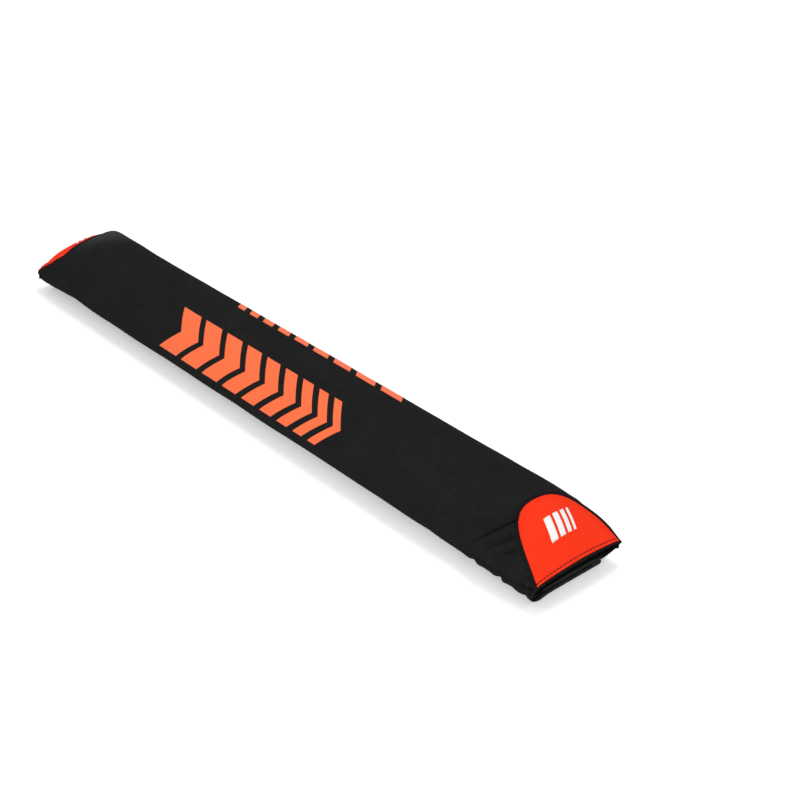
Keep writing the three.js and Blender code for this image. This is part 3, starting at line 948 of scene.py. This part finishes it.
def sew(name, path, up):
    """A row of stitches along a path on the cloth, whose outward directions are given. None goes below
    the floor."""
    run = np.concatenate([[0], np.cumsum(np.linalg.norm(np.diff(path, axis=0), axis=-1))])
    places = np.arange(STITCH_PITCH / 2, run[-1] - STITCH_PITCH / 4, STITCH_PITCH)
    at = np.stack([np.interp(places, run, path[:, k]) for k in range(3)], -1)
    ahead = np.stack([np.interp(places + 0.5 * MM, run, path[:, k]) for k in range(3)], -1)
    behind = np.stack([np.interp(places - 0.5 * MM, run, path[:, k]) for k in range(3)], -1)
    normal = np.stack([np.interp(places, run, up[:, k]) for k in range(3)], -1)
    normal /= np.linalg.norm(normal, axis=-1, keepdims=True)
    along = ahead - behind
    along /= np.linalg.norm(along, axis=-1, keepdims=True)
    side = np.cross(normal, along)
    normal = np.cross(along, side)
    frames = np.stack([along, side, normal], 1)
    points = at[:, None] + np.einsum("pk,nkc->npc", STITCH_POINTS, frames)
    points[..., 2] = np.maximum(points[..., 2], 0)
    size = len(STITCH_POINTS)
    faces = [[v + size * k for v in face] for k in range(len(places)) for face in STITCH_FACES]
    mesh = bpy.data.meshes.new(name)
    mesh.from_pydata(points.reshape(-1, 3).tolist(), [], faces)
    mesh.shade_smooth()
    return add_piece(name, mesh, BLACK_THREAD)


for end, sign, moon in (("near", 1, NEAR_MOON), ("far", -1, FAR_MOON)):
    patch = cloth_from(f"{end}_patch_cloth", patch_grid(sign, moon), PATCH_CLOTH, f"{end}_end_patch")
    cut = (moon["width"], moon["rise"] + 10 * MM)
    0.82 * cut[0] * cut[1]
    tube_from(f"{end}_piping_cord", piping_rings(sign, moon), PIPING_CLOTH, f"{end}_patch_piping")
    tube_from(f"{end}_hem_tape", tape_rings(sign, moon), HEM_TAPE, f"{end}_hem_band")
    # the row of stitches that holds the tape, on the patch
    turn = np.linspace(-0.945, 0.945, 120)
    x = np.full_like(turn, sign * (HEM_X - PATCH_STITCH_SETBACK))
    sew(f"{end}_patch_stitches", skin(x, 3 + turn * sign, STITCH_LIFT), outward(x, 3 + turn * sign))
    # hems of the cover's ends, from the patch's corner down to the flaps' edges
    for side, run in (("front", np.linspace(1.98, 0.12, 60)), ("back", np.linspace(4.02, 5.8, 60))):
        x = np.array([sign * (cover_end(t, moon) - END_STITCH_SETBACK) for t in run])
        sew(f"{end}_{side}_hem_stitches", skin(x, run, STITCH_LIFT), outward(x, run))

# long hems of the flaps
xs = np.linspace(6 * MM - HEM_X + FLAP_SETBACK, HEM_X - FLAP_SETBACK - 6 * MM, 200)
outer_turn = FLAP_STITCH_SETBACK / (FLAP_REACH + BODY_WIDTH / 2 - BODY_WIDEST)
for name, turn in (("outer_flap", outer_turn), ("inner_flap", 5.72)):
    run = np.full_like(xs, turn)
    sew(f"{name}_stitches", skin(xs, run, STITCH_LIFT), outward(xs, run))


# ---- Touch fastener ----


def fastener(name, node, finish, low, high):
    """A strip with rounded corners and soft edges, where its solid is."""
    box_low, box_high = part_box(node)
    bpy.ops.object.select_all(action="DESELECT")
    centre = (box_low + box_high) / 2
    bpy.ops.mesh.primitive_plane_add(size=1, location=(0, 0, 0))
    strip = bpy.context.object
    strip.name = strip.data.name = name
    bpy.ops.object.mode_set(mode="EDIT")
    bpy.ops.mesh.select_all(action="SELECT")
    size = box_high - box_low
    bpy.ops.transform.resize(value=(size.x, size.y, 1))
    bpy.ops.mesh.bevel(offset=4 * MM, segments=5, affect="VERTICES")
    bpy.ops.mesh.extrude_region_move(TRANSFORM_OT_translate={"value": (0, 0, high - low)})
    bpy.ops.mesh.select_all(action="SELECT")
    bpy.ops.mesh.normals_make_consistent(inside=False)
    bpy.ops.transform.translate(value=(centre.x, centre.y, low))
    bpy.ops.object.mode_set(mode="OBJECT")
    layer = strip.data.uv_layers.active or strip.data.uv_layers.new()
    layer.name = "cloth"
    for corner in strip.data.loops:
        layer.data[corner.index].uv = strip.data.vertices[corner.vertex_index].co.xy
    soft = strip.modifiers.new("soft edges", "BEVEL")
    soft.width, soft.segments, soft.limit_method = 0.4 * MM, 2, "ANGLE"
    bpy.ops.object.modifier_apply(modifier=soft.name)
    bpy.ops.object.shade_smooth_by_angle(angle=math.radians(40))
    return fit_out(strip, finish, node)


FASTENER_MEETS = 3.0 * MM
fastener("hook_tape", "hook_strip", HOOKS, 1.5 * MM, FASTENER_MEETS - 0.05 * MM)
fastener("loop_tape", "loop_strip", LOOPS, FASTENER_MEETS + 0.05 * MM, RETURN_HEIGHT - 0.1 * MM)


# ---- Print ----


def laid_on_cloth(shape, place, finish, *nodes):
    """Lays a flat drawn shape on the cover: place takes its flat points to (x, turn)."""
    flat = np.array([v.co.xy for v in shape.data.vertices])
    x, turn = place(flat)
    layer = shape.data.uv_layers.active or shape.data.uv_layers.new()
    layer.name = "cloth"
    corners = np.array([c.vertex_index for c in shape.data.loops])
    layer.data.foreach_set("uv", flat[corners].astype(np.float32).ravel())
    shape.data.vertices.foreach_set("co", skin(x, turn, INK_LIFT).astype(np.float32).ravel())
    shape.data.update()
    shape.data.shade_smooth()
    film = shape.modifiers.new("film", "SOLIDIFY")
    film.thickness, film.offset = INK, 1
    return fit_out(shape, finish, *nodes)


def draw_strip(name, width, height, lean):
    """A flat strip that stands on the X axis and leans to one side."""
    bpy.ops.object.select_all(action="DESELECT")
    bpy.ops.mesh.primitive_plane_add(size=1, location=(0, 0, 0))
    strip = bpy.context.object
    strip.name = strip.data.name = name
    bpy.ops.object.mode_set(mode="EDIT")
    bpy.ops.mesh.select_mode(type="VERT")
    bpy.ops.mesh.select_all(action="SELECT")
    bpy.ops.transform.translate(value=(0.5, 0.5, 0))
    bpy.ops.transform.resize(value=(width, height, 1), center_override=(0, 0, 0))
    bpy.ops.mesh.select_all(action="DESELECT")
    bpy.ops.object.mode_set(mode="OBJECT")
    for vertex in strip.data.vertices:
        vertex.select = vertex.co.y > height / 2
    bpy.ops.object.mode_set(mode="EDIT")
    bpy.ops.transform.translate(value=(lean, 0, 0))
    return strip


def cut_finely(strip, cuts):
    """Divides a drawn shape so that it can lie on the curved cloth, with its face up."""
    bpy.ops.mesh.select_all(action="SELECT")
    bpy.ops.mesh.normals_make_consistent(inside=False)
    bpy.ops.mesh.subdivide(number_cuts=cuts)
    bpy.ops.object.mode_set(mode="OBJECT")
    if strip.data.polygons[0].normal.z < 0:
        strip.data.flip_normals()
    return strip


def draw_chevron(name, stroke):
    """Two strips, one on the other, that lean opposite ways."""
    shape = draw_strip(name, stroke, PRINT_TALL / 2, CHEVRON_POINT)
    bpy.ops.mesh.extrude_region_move(TRANSFORM_OT_translate={"value": (-CHEVRON_POINT, PRINT_TALL / 2, 0)})
    return cut_finely(shape, 15)


def row_of(count, first, last, gap, lean):
    """Starts and widths of strokes in a row about the middle, each narrower than the one before."""
    strokes = np.linspace(first, last, count)
    starts = np.concatenate([[0], np.cumsum(strokes + gap)[:-1]])
    return list(zip(starts - (strokes.sum() + gap * (count - 1) + lean) / 2, strokes))


chevrons = row_of(CHEVRONS, FIRST_STROKE, LAST_STROKE, CHEVRON_GAP, CHEVRON_POINT)
for k, (start, stroke) in enumerate(chevrons, 1):
    for side, sign in (("front", 1), ("back", -1)):
        def on_slope(flat, start=start + PRINT_SHIFT, sign=sign):
            foot = -(PRINT_FROM_RIDGE + PRINT_TALL)
            return sign * (flat[:, 0] + start), turn_of(sign * (flat[:, 1] + foot))

        chevron = draw_chevron(f"{side}_print_{k}", stroke)
        laid_on_cloth(chevron, on_slope, ORANGE_INK, f"{side}_chevron_{k}")

for k, (start, stroke) in enumerate(row_of(BARS, FIRST_BAR, LAST_BAR, BAR_GAP, BAR_SLANT), 1):
    for end, sign in (("near", 1), ("far", -1)):
        def on_patch(flat, start=start, sign=sign):
            x = HEM_X - BAR_SETBACK - flat[:, 1]
            return sign * x, 3 + sign * (flat[:, 0] + start) / section(x)["half"]

        bar = cut_finely(draw_strip(f"{end}_white_bar_{k}", stroke, BAR_LENGTH, BAR_SLANT), 7)
        laid_on_cloth(bar, on_patch, WHITE_INK, f"{end}_bar_{k}")


# ---- Floor and light ----

bpy.ops.object.select_all(action="DESELECT")
bpy.ops.mesh.primitive_plane_add(size=12, location=(0, 0, -0.0002))
floor = bpy.context.object
floor.name = "floor"
paper = Finish("white paper", None)
shaded = paper.node("BsdfDiffuse", {}, {"Color": rgb(0.97, 0.97, 0.97)})
# the floor's own glow, which rises beyond the sleeve so that the floor runs into the backdrop
away = paper.node("VectorMath", {"operation": "LENGTH"}, {0: paper.place()}, output=1)
glow_color = paper.mix(rgb(0.29, 0.29, 0.29), rgb(0.42, 0.42, 0.42), ((away - 0.7) * 0.7).clamped())
glow = paper.node("Emission", {}, {"Color": glow_color, "Strength": 1.0})
bright = paper.node("AddShader", {}, {0: shaded, 1: glow})
rays = ("Is Camera Ray", "Is Glossy Ray", "Is Transmission Ray")
seen = [paper.node("LightPath", output=ray) for ray in rays]
share = (seen[0] + seen[1] + seen[2]).clamped()
paper.node("OutputMaterial", {}, {"Surface": paper.node("MixShader", {}, {0: share, 1: shaded, 2: bright})})
floor.data.materials.append(paper.material)

world = bpy.data.worlds.new("studio")
bpy.context.scene.world = world
world.use_nodes = True
sky = world.node_tree
sky.nodes.clear()
ray = sky.nodes.new("ShaderNodeLightPath")
dome = sky.nodes.new("ShaderNodeBackground")
dome.inputs["Color"].default_value = rgb(1, 1, 1)
dome.inputs["Strength"].default_value = 0.64
backdrop = sky.nodes.new("ShaderNodeBackground")
backdrop.inputs["Color"].default_value = rgb(1, 1, 1)
backdrop.inputs["Strength"].default_value = 1.0
choose = sky.nodes.new("ShaderNodeMixShader")
out = sky.nodes.new("ShaderNodeOutputWorld")
sky.links.new(ray.outputs["Is Camera Ray"], choose.inputs[0])
sky.links.new(dome.outputs[0], choose.inputs[1])
sky.links.new(backdrop.outputs[0], choose.inputs[2])
sky.links.new(choose.outputs[0], out.inputs["Surface"])


def soft_lamp(name, place, size, power):
    lamp = bpy.data.objects.new(name, bpy.data.lights.new(name, "AREA"))
    lamp.data.shape, lamp.data.size, lamp.data.energy = "DISK", size, power
    lamp.location = place
    lamp.rotation_euler = (Vector((0, 0, 0)) - lamp.location).to_track_quat("-Z", "Y").to_euler()
    bpy.context.scene.collection.objects.link(lamp)


soft_lamp("key", (-0.30, 0.65, 2.1), 0.9, 15)
soft_lamp("fill", (1.2, -1.4, 0.8), 1.4, 14)
bpy.context.scene.view_settings.view_transform = "Standard"
